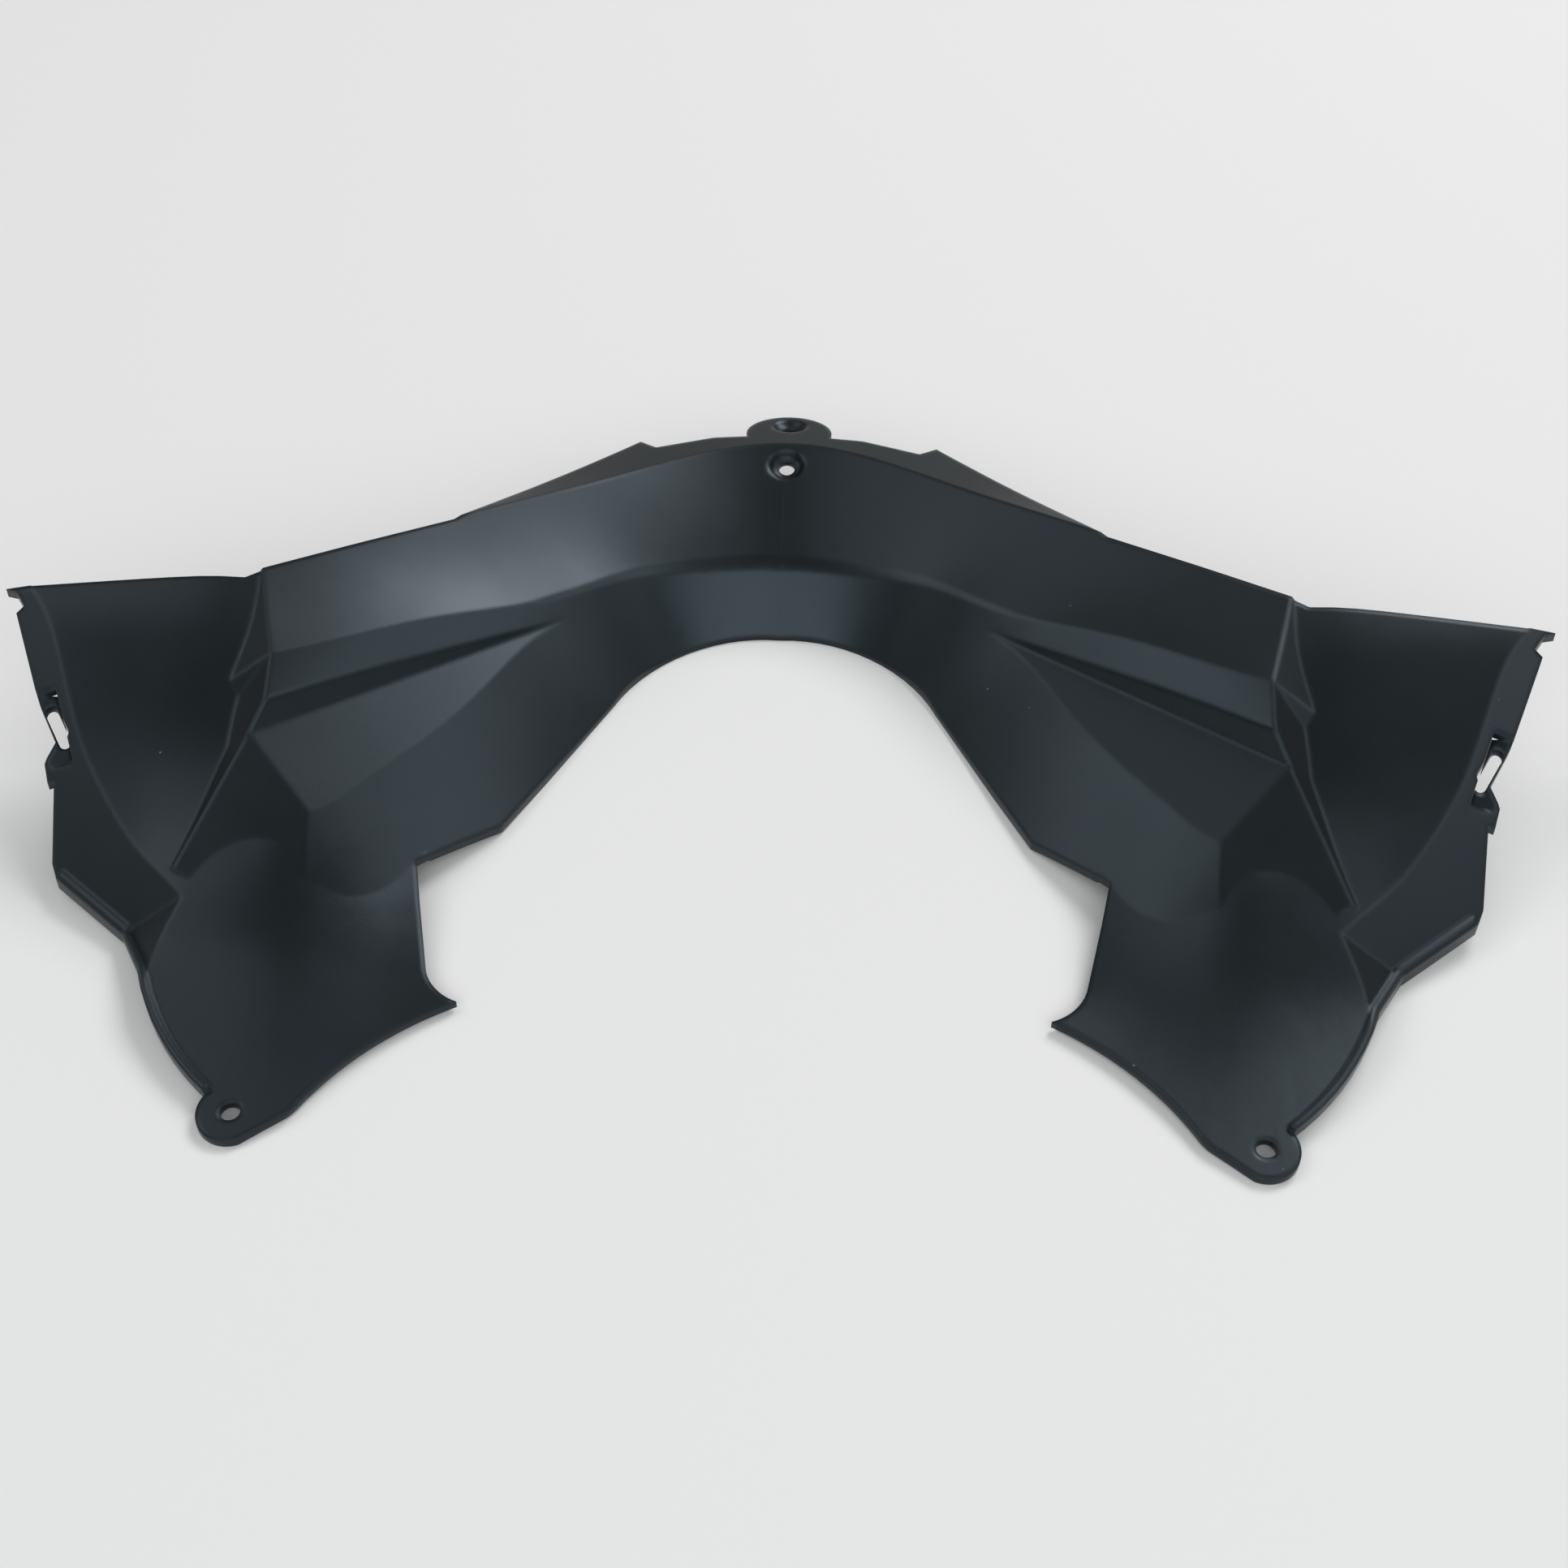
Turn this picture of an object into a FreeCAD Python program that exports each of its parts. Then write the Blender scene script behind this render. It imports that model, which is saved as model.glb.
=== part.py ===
import FreeCAD, Part
import math
import os
from FreeCAD import Vector

# Front inner fender of a scooter: one injection-moulded shell, mirrored about X = 0.
# It lies on the arch edge and the two lower tabs with its styled face up.
# Every styled face is the top of a "hill": ridges are hills intersected, valleys are hills joined.

wall = 2.5
deep = 700.0
reach = 330.0

# Upper and lower band around the wheel arch: arch edge, ridge and top edge at each station
stations = (
    (Vector(0, 70.6, 1.5), Vector(0, 88.5, 22), Vector(0, 137.6, 39.5)),
    (Vector(21, 67.6, 1.5), Vector(27.5, 83.6, 23.3), Vector(42.3, 122, 41.2)),
    (Vector(38.3, 57.3, 1.5), Vector(51.5, 73, 27.2), Vector(72.6, 99.8, 45.3)),
    (Vector(48, 45.7, 1.8), Vector(67.8, 59, 31.2), Vector(99.2, 80.5, 49.8)),
    (Vector(59.8, 25.9, 2.5), Vector(89, 41, 36), Vector(126.3, 60.5, 54)),
    (Vector(73.2, -3.5, 3.2), Vector(114.5, 16.9, 43), Vector(156.6, 38.5, 58.5)),
    (Vector(86.7, -32.8, 4), Vector(142.9, -5.1, 49.3), Vector(187, 16.5, 63)),
    (Vector(95.5, -49.9, 4.5), Vector(160.5, -17.9, 52), Vector(199.5, 1.2, 64.5)),
    (Vector(104.4, -67, 5), Vector(171.7, -33.9, 50), Vector(212, -14, 66)),
    (Vector(122.1, -102.9, 2), Vector(189.4, -69.8, 28), Vector(229.7, -49.9, 55)),
)
ridge_radius = 14.0
ridge_radius_end = 4.0
ridge_round_to = 92.0
flange_fall = 0.25
flange_reach = 60.0
arch_overrun = 25.0

# Facets of the cheek: the step fans out from its tip to the outer end
tip = Vector(73.9, 46, 26.7)
chamfer_tip = Vector(73, 53.5, 32.2)
cheek_corner = Vector(160, -6.6, 54)
step_top = Vector(164, -33.5, 45)
step_foot = Vector(165.3, -31.4, 39.5)
pad_corner = Vector(141, -48.5, 28.8)
pad_end = Vector(152.8, -52.5, 29.5)
dart_tip = Vector(179.6, -66.5, 24)
band_end = Vector(168.7, 27.9, 60.5)
flank_slope = 0.65
bend_slope = 0.8
dart_slope = 0.72
chamfer_shares = (-0.05, 0.3, 0.65, 1, 1.35)
chamfer_back = 100.0
chamfer_front = 40.0
step_slope = 2.6
step_radius = 2.2
nose_radius = 9.0

# Wing and lobe, an S-shaped profile: Y, Z, then the share of rise, of drop and of dip that holds at that Y
wing_profile = (
    (45, 66, 0, 1, 1),
    (17, 60.3, 0, 1, 1),
    (-1, 51.5, 0, 1, 1),
    (-29, 35.5, 0, 1, 0.9),
    (-49, 26.9, 0.6, 1, 0.4),
    (-69, 18.8, 1, 0.8, 0),
    (-89, 12.3, 0.6, 0.5, 0),
    (-109, 7.2, 0.2, 0.2, 0),
    (-165, 2.5, 0, 0, 0),
)
# X of each section, rise below the cheek, drop of the lobe's inner side, dip beside the arm
wing_sections = (
    (280, 0, 0, 0),
    (235, 0, 0, 0),
    (205, 0, 0, 0),
    (192, 1.2, 0, 0.2),
    (182, 3, 0, 0.8),
    (170, 4.5, 0, 3),
    (156, 5.5, 0, 5),
    (145, 5, 0.8, 6),
    (134, 3.5, 5, 6),
    (122, 1, 9, 6),
    (105, 0, 15, 6),
    (80, 0, 19, 6),
)

# Plan of the part that carries the wing surface and of the middle that the cheek facets leave alone
strip_low = Vector(222, -36, 0)
strip_top = Vector(247.8, 25, 0)
beyond = 262.0
wing_plan = (
    Vector(171, 40, 0),
    cheek_corner,
    Vector(164, -33, 0),
    Vector(152, -54, 0),
    Vector(139, -48, 0),
    Vector(118, -58, 0),
    Vector(100, -50, 0),
    Vector(80, -50, 0),
    Vector(80, -175, 0),
    Vector(beyond, -175, 0),
    Vector(beyond, strip_low.y, 0),
    strip_low,
    strip_top,
    Vector(beyond, strip_top.y, 0),
    Vector(beyond, 40, 0),
)
strip_plan = (strip_low, strip_top, Vector(beyond, strip_top.y, 0), Vector(beyond, strip_low.y, 0))
centre_plan = (
    Vector(-300, 250, 0),
    Vector(-300, -200, 0),
    Vector(60, -80, 0),
    tip,
    chamfer_tip,
    Vector(60, 250, 0),
)

# Side pocket: two faces meeting in a valley that runs out to the rim
pocket_top = Vector(222, -28, 36.3)
pocket_corner = Vector(178, -81.3, 17.4)
pocket_valley = Vector(198, -87, 4)
pocket_foot = Vector(185.3, -105.3, 9)

# Strip outside the wing that falls away from its edge, and the ledge with a slot for the next cover
wing_edge_top = Vector(244, 17, 60.2)
wing_edge_low = Vector(222.5, -31.8, 34)
side_slope = 0.45
ledge_drop = 6.0
ledge_plan = (
    Vector(219, strip_low.y, 0),
    Vector(229.5, -14, 0),
    Vector(beyond, -14, 0),
    Vector(beyond, strip_low.y, 0),
)
slot_centre = Vector(229.7, -23.3, 0)
slot_along = Vector(9, 13.5, 0)
slot_length = 15.0
slot_width = 4.0

# Fastener holes: one in each lower tab, one in the top tab, one sunk in the upper band
hole_radius = 3.0
low_hole = Vector(149, -153, 0)
seat_radius = 6.7
seat_floor = 4.4
boss_radius = 8.2
seat_share = 0.82
seat_depth = 2.6
top_share = 0.66
top_depth = 2.0
tab_centre = 149.0
tab_radius = 16.0
tab_foot = 144.9

# Bead along the outer rim of the pocket and the lobe
rim = (
    Vector(223.7, -67, 0),
    Vector(198, -87, 0),
    Vector(187.5, -105, 0),
    Vector(176, -127.6, 0),
    Vector(157.5, -147.7, 0),
)
bead_width = 2.4
bead_height = 1.6

# Middle of the outline's depth, brought to the frame's origin
centre_y = 1.0


def hill(a, b, c, inset):
    normal = (b - a).cross(c - a)
    normal.normalize()
    if normal.z < 0:
        normal = normal * -1
    base = a - normal * inset
    corners = []
    for x, y in ((-40, -reach), (reach, -reach), (reach, reach), (-40, reach)):
        z = base.z - (normal.x * (x - base.x) + normal.y * (y - base.y)) / normal.z
        corners.append(Vector(x, y, z))
    face = Part.Face(Part.makePolygon(corners + corners[:1]))
    return face.extrude(Vector(0, 0, -2500))


def fall_from_line(a, b, side, slope):
    along = Vector(b.x - a.x, b.y - a.y, 0)
    out = along.cross(Vector(0, 0, side))
    out.normalize()
    return a + out * 10 - Vector(0, 0, 10 * slope)


def mirrored(point):
    return Vector(-point.x, point.y, point.z)


def flat(point):
    return Vector(point.x, point.y, 0)


def band_hill(lines, margin, inset):
    # Ruled sheet through one straight line per station, from inside the arch to behind the top edge
    rows = [(mirrored(edge), mirrored(top), at, z, slope) for edge, top, at, z, slope in lines[3:0:-1]]
    rows += lines
    near = []
    far = []
    for edge, top, at, z, slope in rows:
        run = Vector(top.x - edge.x, top.y - edge.y, 0)
        start = -arch_overrun - margin
        end = run.Length + flange_reach + margin
        run.normalize()
        level = z - inset * math.hypot(1, slope)
        near.append(Vector(edge.x, edge.y, level) + run * start + Vector(0, 0, slope * (start - at)))
        far.append(Vector(edge.x, edge.y, level) + run * end + Vector(0, 0, slope * (end - at)))
    knots = [0.0]
    for one, two in zip(rows, rows[1:]):
        knots.append(knots[-1] + (one[0] + one[1]).distanceToPoint(two[0] + two[1]))
    rails = []
    for points in (near, far):
        rail = Part.BSplineCurve()
        rail.interpolate(Points=points, Parameters=knots)
        rails.append(rail.toShape())
    sheet = Part.makeRuledSurface(rails[0], rails[1])
    return sheet.Faces[0].extrude(Vector(0, 0, -deep))


def apex(inset):
    edge, ridge, top = stations[0]
    low = (ridge.z - edge.z) / (ridge.y - edge.y)
    high = (top.z - ridge.z) / (top.y - ridge.y)
    shift = inset * (math.hypot(1, low) - math.hypot(1, high)) / (low - high)
    return Vector(0, ridge.y + shift, ridge.z + high * shift - inset * math.hypot(1, high))


def band_lines():
    # The straight lines that rule the lower band, the upper band and the rear flange
    lower = []
    upper = []
    rear = []
    for edge, ridge, top in stations:
        run = Vector(top.x - edge.x, top.y - edge.y, 0)
        at = (ridge - edge).dot(run) / run.Length
        lower.append((edge, top, 0, edge.z, (ridge.z - edge.z) / at))
        upper.append((edge, top, at, ridge.z, (top.z - ridge.z) / (run.Length - at)))
        rear.append((edge, top, run.Length, top.z, -flange_fall))
    return lower, upper, rear


def arch_hill(inset):
    lower, upper, rear = band_lines()
    bands = band_hill(lower, 0, inset).common(band_hill(upper, 3, inset))
    middle = prism((
        Vector(-20, -reach, 0),
        Vector(ridge_round_to, -reach, 0),
        Vector(ridge_round_to, reach, 0),
        Vector(-20, reach, 0),
    ))
    crown = bands.common(middle).Solids[0]
    crest = [e for e in crown.Edges if e.distToShape(Part.Vertex(apex(inset)))[0] < 1]
    crown = crown.makeFillet(ridge_radius - inset, ridge_radius_end - inset, crest)
    return bands.cut(middle).fuse(crown).common(band_hill(rear, 6, inset))


def prism(points):
    corners = [Vector(point.x, point.y, -deep) for point in points]
    return Part.Face(Part.makePolygon(corners + corners[:1])).extrude(Vector(0, 0, deep + 250))


def wing_hill(inset):
    rows = []
    for x, rise, drop, dip in wing_sections:
        row = []
        for i, (y, z, risen, dropped, dipped) in enumerate(wing_profile):
            before = wing_profile[max(i - 1, 0)]
            after = wing_profile[min(i + 1, len(wing_profile) - 1)]
            slope = (after[1] - before[1]) / (after[0] - before[0])
            level = z + rise * risen - drop * dropped - dip * dipped
            row.append(Vector(x, y, level - inset * math.hypot(1, slope)))
        rows.append(row)
    across = len(rows) - 2
    along = len(rows[0]) - 2
    sheet = Part.BSplineSurface()
    sheet.buildFromPolesMultsKnots(
        rows,
        [4] + [1] * (across - 2) + [4],
        [4] + [1] * (along - 2) + [4],
        list(range(across)),
        list(range(along)),
        False,
        False,
        3,
        3,
    )
    return sheet.toShape().extrude(Vector(0, 0, -deep))


def softened(solid, radius):
    # Rounds the one edge where two upward faces meet
    if radius <= 0:
        return solid
    edges = []
    for edge in solid.Edges:
        faces = solid.ancestorsOfType(edge, Part.Face)
        if min(abs(face.normalAt(0, 0).z) for face in faces) > 0.05:
            edges.append(edge)
    return solid.makeFillet(radius, edges)


def flank_hill(inset):
    # Gentle flank of the upper band; ahead of the cheek's corner it bends down into the narrow dart
    fall = fall_from_line(band_end, cheek_corner, -1, flank_slope)
    ahead = flat(cheek_corner - band_end)
    ahead.normalize()
    bend = cheek_corner + ahead * 10 - Vector(0, 0, 10 * bend_slope)
    flank = hill(band_end, cheek_corner, fall, inset)
    flank = flank.common(hill(cheek_corner, cheek_corner + fall - band_end, bend, inset))
    for a, b in ((cheek_corner, step_foot), (step_foot, dart_tip)):
        flank = flank.fuse(hill(a, b, fall_from_line(a, b, -1, dart_slope), inset))
    return flank


def chamfer_hill(inset):
    # Ruled face from a straight crease in the upper band down to the step, both fanning out from the tip
    band = band_hill(band_lines()[1], 3, 0)
    normal = (cheek_corner - chamfer_tip).cross(step_top - chamfer_tip)
    normal.normalize()
    back = []
    front = []
    for share in chamfer_shares:
        crease = chamfer_tip + (cheek_corner - chamfer_tip) * share
        plumb = Part.makeLine(Vector(crease.x, crease.y, 250), Vector(crease.x, crease.y, -250))
        crease.z = plumb.common(band).BoundBox.ZMax
        step = tip + (step_top - tip) * share
        fall = step - crease
        fall = fall / flat(fall).Length
        sunk = Vector(0, 0, inset / abs(normal.z))
        back.append(crease - fall * chamfer_back - sunk)
        front.append(step + fall * chamfer_front - sunk)
    rails = []
    for points in (back, front):
        rail = Part.BSplineCurve()
        rail.interpolate(Points=points, Parameters=list(chamfer_shares))
        rails.append(rail.toShape())
    return Part.makeRuledSurface(rails[0], rails[1]).Faces[0].extrude(Vector(0, 0, -deep))


def arm(inset):
    chamfer = chamfer_hill(inset)
    step = hill(tip, step_foot, fall_from_line(tip, step_foot, 1, step_slope), inset)
    pad = hill(tip, step_foot, pad_corner, inset)
    nose = hill(step_foot, dart_tip, pad_end, inset)
    above = softened(chamfer.common(step), step_radius - inset)
    below = softened(pad.common(nose), nose_radius - inset)
    cheek = above.fuse(below).fuse(prism(centre_plan))
    return arch_hill(inset).common(cheek).common(flank_hill(inset))


def wing(inset):
    pocket = hill(pocket_top, pocket_corner, pocket_valley, inset)
    pocket = pocket.fuse(hill(pocket_corner, pocket_valley, pocket_foot, inset))
    whole = wing_hill(inset)
    fall = fall_from_line(wing_edge_top, wing_edge_low, -1, side_slope)
    strip = whole.common(hill(wing_edge_top, wing_edge_low, fall, inset))
    ledge = whole.translated(Vector(0, 0, -ledge_drop)).common(prism(ledge_plan))
    strip = strip.cut(prism(ledge_plan)).fuse(ledge).common(prism(strip_plan))
    return whole.common(prism(wing_plan)).fuse(strip).common(pocket)


def rim_edges():
    return [
        Part.makeLine(rim[0], rim[1]),
        Part.makeLine(rim[1], rim[2]),
        Part.Arc(rim[2], rim[3], rim[4]).toShape(),
    ]


def polyline(*points):
    return Part.makePolygon([flat(point) for point in points])


def curve(start, through, end):
    return Part.Arc(flat(start), flat(through), flat(end)).toShape()


def plan_outline():
    # One half seen from above, from the arch's crown round the leg, the tab and the wing to the top tab
    crown = flat(stations[0][0])
    arch_end = Vector(56, 32.5, 0)
    leg_end = Vector(101.6, -95, 0)
    hook = Vector(90, -108.5, 0)
    lobe_end = Vector(131, -150.3, 0)
    low_tab = Vector(145, -162.2, 0)
    neck = Vector(math.sqrt(tab_radius ** 2 - (tab_centre - tab_foot) ** 2), tab_foot, 0)
    head = Vector(0, tab_centre + tab_radius, 0)
    turn = Vector(tab_radius, tab_centre, 0)
    arch = Part.BSplineCurve()
    arch.interpolate([crown, flat(stations[1][0]), flat(stations[2][0]), arch_end])
    edges = [
        arch.toShape(),
        polyline(arch_end, stations[6][0], Vector(110, -56.5, 0), Vector(106.8, -72, 0), leg_end),
        curve(leg_end, Vector(98, -103, 0), hook),
        curve(hook, Vector(112, -125.5, 0), lobe_end),
        polyline(lobe_end, Vector(132.8, -152.5, 0), low_tab),
        curve(low_tab, Vector(156, -160.1, 0), rim[4]),
        polyline(
            rim[0],
            Vector(226, -62, 0),
            Vector(228.4, -39.5, 0),
            Vector(230.8, -39.5, 0),
            Vector(232.5, -34.3, 0),
            Vector(229.8, -27.8, 0),
            Vector(237, -16.4, 0),
            Vector(239, -12.4, 0),
            Vector(249.1, 10.7, 0),
            Vector(246.3, 12, 0),
            Vector(250, 17, 0),
            Vector(254, 18.7, 0),
            wing_edge_top,
            Vector(175, 24.5, 0),
            Vector(113, 69.4, 0),
            Vector(55.5, 142.3, 0),
            Vector(49.1, 136.1, 0),
            Vector(28, 144.2, 0),
            neck,
        ),
        curve(neck, turn, head),
        Part.makeLine(head, crown),
    ]
    parts = []
    for edge in edges + rim_edges():
        parts += edge.Edges
    return Part.Wire(Part.__sortEdges__(parts))


def hole(at):
    return Part.makeCylinder(hole_radius, 400, at - Vector(0, 0, 200))


def slot():
    # Long hole with round ends, cut straight down
    along = Vector(slot_along)
    along.normalize()
    side = Vector(along.y, -along.x, 0) * (slot_width / 2)
    tail = slot_centre - along * (slot_length - slot_width) / 2
    head = slot_centre + along * (slot_length - slot_width) / 2
    ends = along * (slot_width / 2)
    edges = [
        Part.makeLine(tail + side, head + side),
        Part.Arc(head + side, head + ends, head - side).toShape(),
        Part.makeLine(head - side, tail - side),
        Part.Arc(tail - side, tail - ends, tail + side).toShape(),
    ]
    return Part.Face(Part.Wire(edges)).extrude(Vector(0, 0, 200))


def dished(shape, at, axis, depth):
    # Round boss behind the wall, with a dished seat and a screw hole along its axis
    axis.normalize()
    slant = (seat_radius - seat_floor) / depth
    shape = shape.fuse(Part.makeCylinder(boss_radius, depth + wall, at - axis * (depth + wall), axis))
    shape = shape.cut(Part.makeCone(seat_floor, seat_radius + slant, depth + 1, at - axis * depth, axis))
    return shape.cut(Part.makeCylinder(hole_radius, 40, at - axis * 20, axis))


outline = Part.Face(plan_outline()).extrude(Vector(0, 0, 200))
inside = arm(wall).fuse(wing(wall))
outside = wing(0)
bead = Part.Wire(rim_edges()).makeOffset2D(bead_width, 0, True, True).extrude(Vector(0, 0, 200))
bead = outside.translated(Vector(0, 0, bead_height)).common(bead)
half = arm(0).fuse(outside).fuse(bead).cut(inside).common(outline)
half = half.cut(slot()).cut(hole(low_hole))
fender = half.fuse(half.mirror(Vector(0, 0, 0), Vector(1, 0, 0))).removeSplitter()

ridge, top = stations[0][1:]
band = top - ridge
flange = Vector(0, 1, -flange_fall)
fender = dished(fender, ridge + band * seat_share, Vector(1, 0, 0).cross(band), seat_depth)
tab_hole = top + flange * top_share * (tab_centre + tab_radius - top.y)
fender = dished(fender, tab_hole, Vector(1, 0, 0).cross(flange), top_depth)
fender = fender.removeSplitter()
fender.translate(Vector(0, -centre_y, 0))

os.makedirs("parts", exist_ok=True)
fender.exportStep("parts/inner_fender.step")
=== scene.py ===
import math
import bpy
from mathutils import Matrix, Vector

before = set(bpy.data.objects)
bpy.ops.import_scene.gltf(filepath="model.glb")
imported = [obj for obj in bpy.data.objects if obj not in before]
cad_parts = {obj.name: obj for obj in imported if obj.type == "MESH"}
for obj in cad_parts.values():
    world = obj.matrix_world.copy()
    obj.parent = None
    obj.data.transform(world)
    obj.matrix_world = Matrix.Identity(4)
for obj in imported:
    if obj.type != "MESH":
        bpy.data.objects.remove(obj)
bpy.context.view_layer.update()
scene = bpy.context.scene
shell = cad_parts["inner_fender"]

# Plastic: colours, range of roughness, and the radius that the edges show, in metres
dark_plastic = (0.003, 0.004, 0.005, 1.0)
pale_plastic = (0.006, 0.008, 0.009, 1.0)
worn_plastic = (0.012, 0.017, 0.020, 1.0)
dust_colour = (0.14, 0.15, 0.15, 1.0)
sheen_tint = (0.70, 0.87, 1.0, 1.0)
least_roughness = 0.29
most_roughness = 0.36
edge_radius = 0.0024

# Relief of the surface: a line left by the mould and the fine grain, in metres
seam_core = 0.0002
seam_reach = 0.0007
seam_height = 0.00015
seam_strength = 0.22
grain_height = 0.0002
grain_strength = 0.12

# Lamps: name, place and size in metres, power in watts, colour
white = (1.0, 1.0, 1.0)
cool = (0.94, 0.99, 1.0)
lamps = (
    ("key", (1.60, 2.48, 2.70), (2.0, 2.0), 76.0, white),
    ("fill", (0.25, -3.00, 2.28), (7.5, 2.25), 88.0, cool),
    ("left", (-2.87, 0.25, 2.72), (2.25, 2.25), 21.0, white),
    ("right", (2.87, 0.0, 2.72), (2.25, 2.25), 21.0, white),
    ("back", (-1.68, 1.20, 3.40), (2.25, 2.25), 9.0, white),
)
part_middle = Vector((0.0, 0.0, 0.03))
sky_colour = (0.97, 0.99, 1.0, 1.0)
sky_strength = 0.20

floor_half = 15.0
floor_colour = (0.82, 0.81, 0.805, 1.0)

# Viewpoint of the photograph: angles in radians, focal length in pixels of the photograph
yaw = 0.0431955
pitch = 0.7598523
roll = 0.0011858
viewpoint = Vector((0.0280, -0.5400, 0.50824))
focal_pixels = 2695
photo_pixels = 1932
sensor_width = 36.0


def node(tree, kind, **values):
    made = tree.nodes.new(kind)
    for name, value in values.items():
        setattr(made, name, value)
    return made


def noise(tree, vector, scale, detail, roughness):
    made = node(tree, "ShaderNodeTexNoise")
    made.inputs["Scale"].default_value = scale
    made.inputs["Detail"].default_value = detail
    made.inputs["Roughness"].default_value = roughness
    tree.links.new(vector, made.inputs["Vector"])
    return made.outputs["Fac"]


def remap(tree, value, low, high, to_low, to_high):
    made = node(tree, "ShaderNodeMapRange")
    made.inputs["From Min"].default_value = low
    made.inputs["From Max"].default_value = high
    made.inputs["To Min"].default_value = to_low
    made.inputs["To Max"].default_value = to_high
    tree.links.new(value, made.inputs["Value"])
    return made.outputs["Result"]


def blend(tree, share, low, high):
    # In a colour mix, sockets 6 and 7 take the colours and output 2 gives the result
    made = node(tree, "ShaderNodeMix", data_type="RGBA")
    tree.links.new(share, made.inputs["Factor"])
    for socket, colour in ((6, low), (7, high)):
        if isinstance(colour, tuple):
            made.inputs[socket].default_value = colour
        else:
            tree.links.new(colour, made.inputs[socket])
    return made.outputs[2]


def bump(tree, height, normal, strength, distance):
    made = node(tree, "ShaderNodeBump")
    made.inputs["Strength"].default_value = strength
    made.inputs["Distance"].default_value = distance
    tree.links.new(height, made.inputs["Height"])
    tree.links.new(normal, made.inputs["Normal"])
    return made.outputs["Normal"]


def dust_specks(tree, place):
    # A small dot in the middle of a cell, kept in about one cell of twenty
    cells = node(tree, "ShaderNodeTexVoronoi")
    cells.inputs["Scale"].default_value = 150.0
    cells.inputs["Randomness"].default_value = 1.0
    tree.links.new(place, cells.inputs["Vector"])
    pick = node(tree, "ShaderNodeSeparateColor")
    tree.links.new(cells.outputs["Color"], pick.inputs["Color"])
    dot = remap(tree, cells.outputs["Distance"], 0.03, 0.06, 1.0, 0.0)
    kept = remap(tree, pick.outputs["Red"], 0.95, 0.96, 0.0, 1.0)
    dust = node(tree, "ShaderNodeMath", operation="MULTIPLY")
    tree.links.new(dot, dust.inputs[0])
    tree.links.new(kept, dust.inputs[1])
    return dust.outputs[0]


def mould_line(tree, place):
    # Faint witness of the mould's parting along the middle of the part
    axes = node(tree, "ShaderNodeSeparateXYZ")
    tree.links.new(place, axes.inputs[0])
    away = node(tree, "ShaderNodeMath", operation="ABSOLUTE")
    tree.links.new(axes.outputs["X"], away.inputs[0])
    return remap(tree, away.outputs[0], seam_core, seam_reach, 1.0, 0.0)


def rounded_edges(tree):
    # Moulded edges have a small radius: gives the rounded normal and how near an edge is,
    # from how far that normal turns away from the true one
    bevel = node(tree, "ShaderNodeBevel", samples=6)
    bevel.inputs["Radius"].default_value = edge_radius
    sharp = node(tree, "ShaderNodeNewGeometry")
    turn = node(tree, "ShaderNodeVectorMath", operation="DOT_PRODUCT")
    tree.links.new(bevel.outputs["Normal"], turn.inputs[0])
    tree.links.new(sharp.outputs["Normal"], turn.inputs[1])
    edge = remap(tree, turn.outputs["Value"], 0.72, 0.90, 1.0, 0.0)
    return bevel.outputs["Normal"], edge


def moulded_plastic():
    # Black satin plastic with a blue-green cast: cloudy sheen, fine spark grain,
    # worn edges and a few dust specks
    material = bpy.data.materials.new("moulded_plastic")
    material.use_nodes = True
    tree = material.node_tree
    shader = tree.nodes["Principled BSDF"]
    place = node(tree, "ShaderNodeTexCoord").outputs["Object"]
    cloud = noise(tree, place, 22.0, 4.0, 0.55)
    grain = noise(tree, place, 2600.0, 2.0, 0.6)
    normal, edge = rounded_edges(tree)

    colour = blend(tree, cloud, dark_plastic, pale_plastic)
    colour = blend(tree, edge, colour, worn_plastic)
    colour = blend(tree, dust_specks(tree, place), colour, dust_colour)
    tree.links.new(colour, shader.inputs["Base Color"])
    shader.inputs["Specular Tint"].default_value = sheen_tint
    roughness = remap(tree, cloud, 0.3, 0.7, least_roughness, most_roughness)
    tree.links.new(roughness, shader.inputs["Roughness"])

    normal = bump(tree, mould_line(tree, place), normal, seam_strength, seam_height)
    normal = bump(tree, grain, normal, grain_strength, grain_height)
    tree.links.new(normal, shader.inputs["Normal"])
    return material


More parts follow.
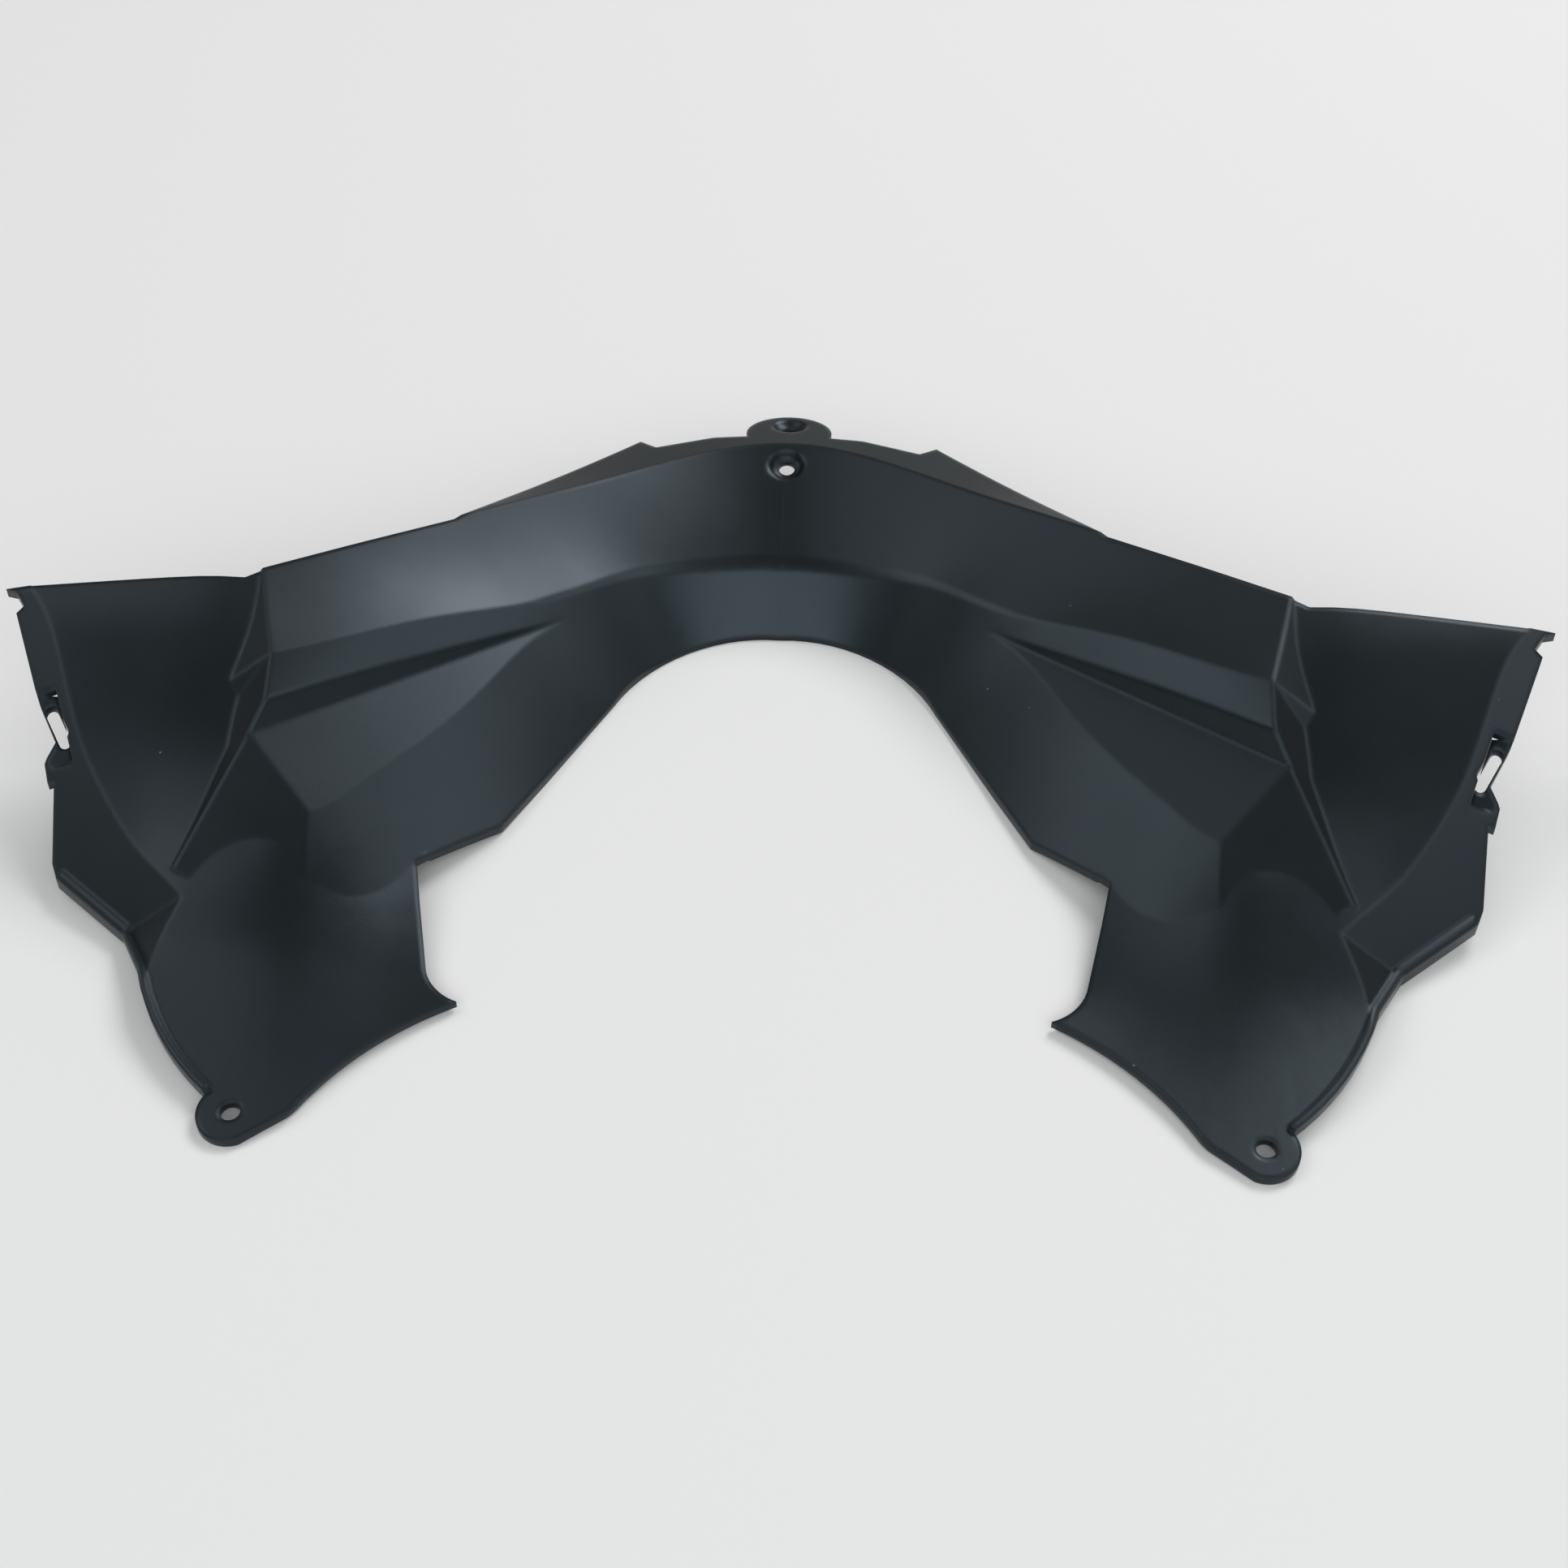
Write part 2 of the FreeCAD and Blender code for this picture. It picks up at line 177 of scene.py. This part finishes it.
def area_light(name, place, size, power, colour):
    data = bpy.data.lights.new(name, "AREA")
    data.shape = "ELLIPSE"
    data.size, data.size_y = size
    data.energy = power
    data.color = colour
    lamp = bpy.data.objects.new(name, data)
    lamp.location = place
    lamp.rotation_euler = (part_middle - Vector(place)).to_track_quat("-Z", "Y").to_euler()
    scene.collection.objects.link(lamp)


def sky():
    world = bpy.data.worlds.new("studio")
    world.use_nodes = True
    background = world.node_tree.nodes["Background"]
    background.inputs["Color"].default_value = sky_colour
    background.inputs["Strength"].default_value = sky_strength
    scene.world = world


def floor():
    mesh = bpy.data.meshes.new("floor")
    half = floor_half
    corners = [(-half, -half, 0), (half, -half, 0), (half, half, 0), (-half, half, 0)]
    mesh.from_pydata(corners, [], [(0, 1, 2, 3)])
    made = bpy.data.objects.new("floor", mesh)
    scene.collection.objects.link(made)
    material = bpy.data.materials.new("pale_floor")
    material.use_nodes = True
    shader = material.node_tree.nodes["Principled BSDF"]
    shader.inputs["Base Color"].default_value = floor_colour
    shader.inputs["Roughness"].default_value = 0.9
    shader.inputs["Specular IOR Level"].default_value = 0.1
    mesh.materials.append(material)


def photo_camera():
    # From the front, about 44 degrees down
    ahead = math.cos(pitch)
    forward = Vector((-math.sin(yaw) * ahead, math.cos(yaw) * ahead, -math.sin(pitch)))
    level = Vector((math.cos(yaw), math.sin(yaw), 0))
    above = level.cross(forward)
    right = level * math.cos(roll) + above * math.sin(roll)
    up = above * math.cos(roll) - level * math.sin(roll)
    data = bpy.data.cameras.new("photo_camera")
    data.sensor_width = sensor_width
    data.lens = sensor_width * focal_pixels / photo_pixels
    data.clip_start = 0.01
    camera = bpy.data.objects.new("photo_camera", data)
    camera.matrix_world = Matrix((
        (right.x, up.x, -forward.x, viewpoint.x),
        (right.y, up.y, -forward.y, viewpoint.y),
        (right.z, up.z, -forward.z, viewpoint.z),
        (0, 0, 0, 1),
    ))
    scene.collection.objects.link(camera)
    scene.camera = camera


plastic = moulded_plastic()
for slot in shell.material_slots:
    slot.material = plastic

for lamp in lamps:
    area_light(*lamp)
sky()
floor()
photo_camera()
scene.view_settings.view_transform = "Standard"
